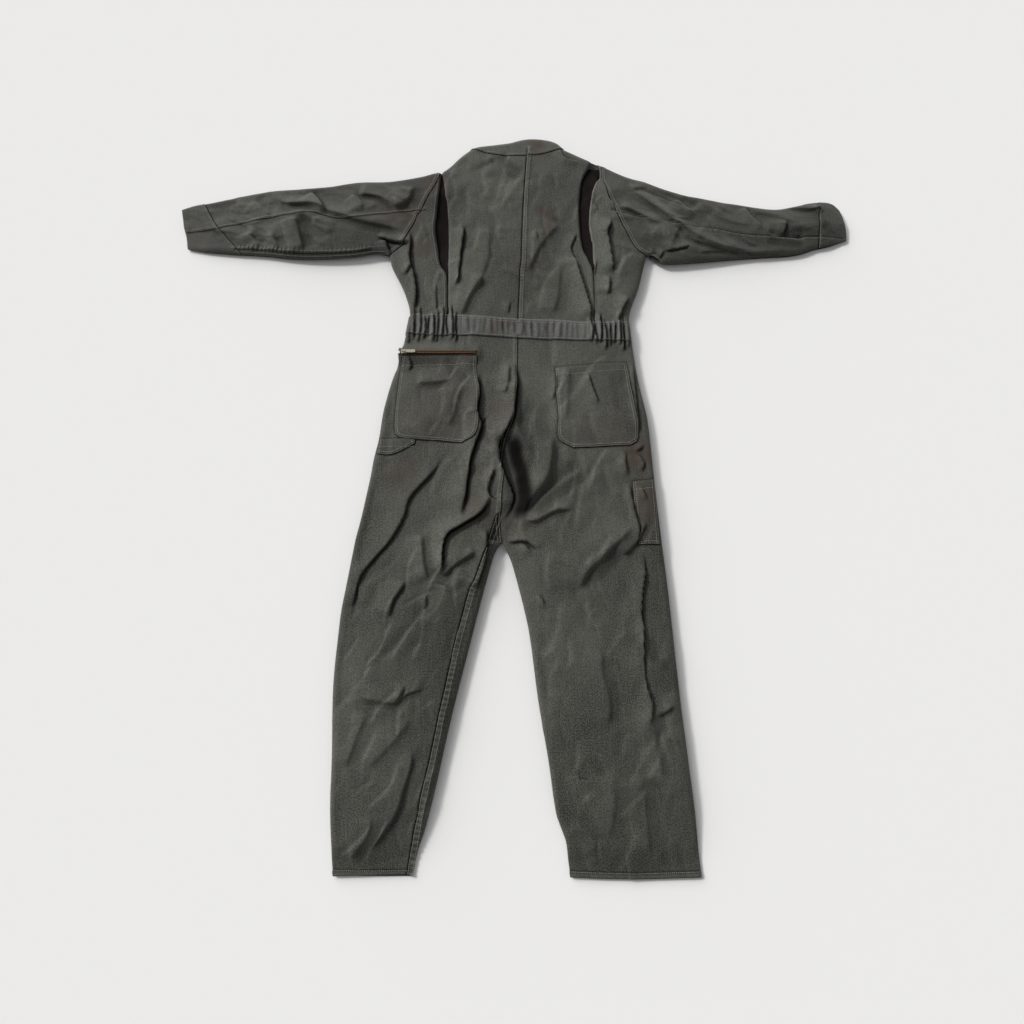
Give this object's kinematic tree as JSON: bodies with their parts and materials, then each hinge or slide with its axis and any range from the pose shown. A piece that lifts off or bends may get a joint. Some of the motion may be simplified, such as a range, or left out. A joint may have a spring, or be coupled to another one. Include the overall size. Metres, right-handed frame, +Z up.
{
  "type": "work coverall",
  "caption": "Twill work coverall lying flat on its front, with an action back, elastic side waist, patch pockets, tool loop and metal zips whose sliders run.",
  "frame": {"origin": "centre of the suit's bounding box, on the floor that it lies on", "axes": "+Y towards the collar, +X towards the wearer's right hand, +Z up, out of the back of the suit"},
  "size_m": [1.5954, 1.6614, 0.0437],
  "materials": {
    "cloth": "matt cotton twill, washed",
    "lining": "matt cotton twill, inner side",
    "elastic": "woven elastic",
    "zip_tape": "matt woven tape",
    "brass": "dull, worn"
  },
  "bodies": {
    "suit": {"leg_back_left": "cloth", "leg_back_right": "cloth", "leg_front_left": "cloth", "leg_front_right": "cloth", "back_panel_left": "cloth", "back_panel_right": "cloth", "side_back_left": "cloth", "side_back_right": "cloth", "front_panel_left": "cloth", "front_panel_right": "cloth", "action_pleat_left": "cloth", "action_pleat_right": "cloth", "collar_outer": "cloth", "collar_inner": "lining", "waistband_back": "cloth", "elastic_casing_left": "cloth", "elastic_casing_right": "cloth", "waistband_front_left": "cloth", "waistband_front_right": "cloth", "elastic_strip_left": "elastic", "elastic_strip_right": "elastic", "top_sleeve_left": "cloth", "under_sleeve_left": "cloth", "front_sleeve_left": "cloth", "cuff_back_left": "cloth", "cuff_front_left": "cloth", "top_sleeve_right": "cloth", "under_sleeve_right": "cloth", "front_sleeve_right": "cloth", "cuff_back_right": "cloth", "cuff_front_right": "cloth", "rear_pocket_left": "cloth", "rear_pocket_right": "cloth", "rule_pocket": "cloth", "tool_loop": "cloth", "chest_pocket_left": "cloth", "chest_pocket_right": "cloth", "side_pocket_bag_left": "lining", "side_pocket_bag_right": "lining", "zip_guard": "lining", "front_zip_teeth_left": "brass", "front_zip_tape_left": "zip_tape", "front_zip_teeth_right": "brass", "front_zip_tape_right": "zip_tape", "front_zip_bottom_stop": "brass", "rear_zip_teeth_lower": "brass", "rear_zip_teeth_upper": "brass", "rear_zip_tape_lower": "zip_tape", "rear_zip_tape_upper": "zip_tape"},
    "rear_slider": {"rear_zip_slider": "brass"},
    "rear_pull": {"rear_zip_pull": "brass"},
    "top_slider": {"front_top_slider": "brass"},
    "top_pull": {"front_top_pull": "brass"},
    "bottom_slider": {"front_bottom_slider": "brass"},
    "bottom_pull": {"front_bottom_pull": "brass"}
  },
  "joints": [
    {"name": "rear_zip_run", "type": "slide", "parent": "suit", "child": "rear_slider", "axis": [1, 0, 0], "range_m": [0, 0.15]},
    {"name": "rear_pull_swing", "type": "hinge", "parent": "rear_slider", "child": "rear_pull", "pos_m": [-0.24, 0.24282, 0.04125], "axis": [0, -1, 0], "range_deg": [0, 170]},
    {"name": "top_zip_run", "type": "slide", "parent": "suit", "child": "top_slider", "axis": [0, -1, 0], "range_m": [0, 0.43]},
    {"name": "top_pull_swing", "type": "hinge", "parent": "top_slider", "child": "top_pull", "pos_m": [0.013, 0.68202, 0.0061], "axis": [1, 0, 0], "range_deg": [-11, 155]},
    {"name": "bottom_zip_run", "type": "slide", "parent": "suit", "child": "bottom_slider", "axis": [0, 1, 0], "range_m": [0, 0.23]},
    {"name": "bottom_pull_swing", "type": "hinge", "parent": "bottom_slider", "child": "bottom_pull", "pos_m": [0.013, -0.00998, 0.0061], "axis": [-1, 0, 0], "range_deg": [-11, 155]}
  ]
}
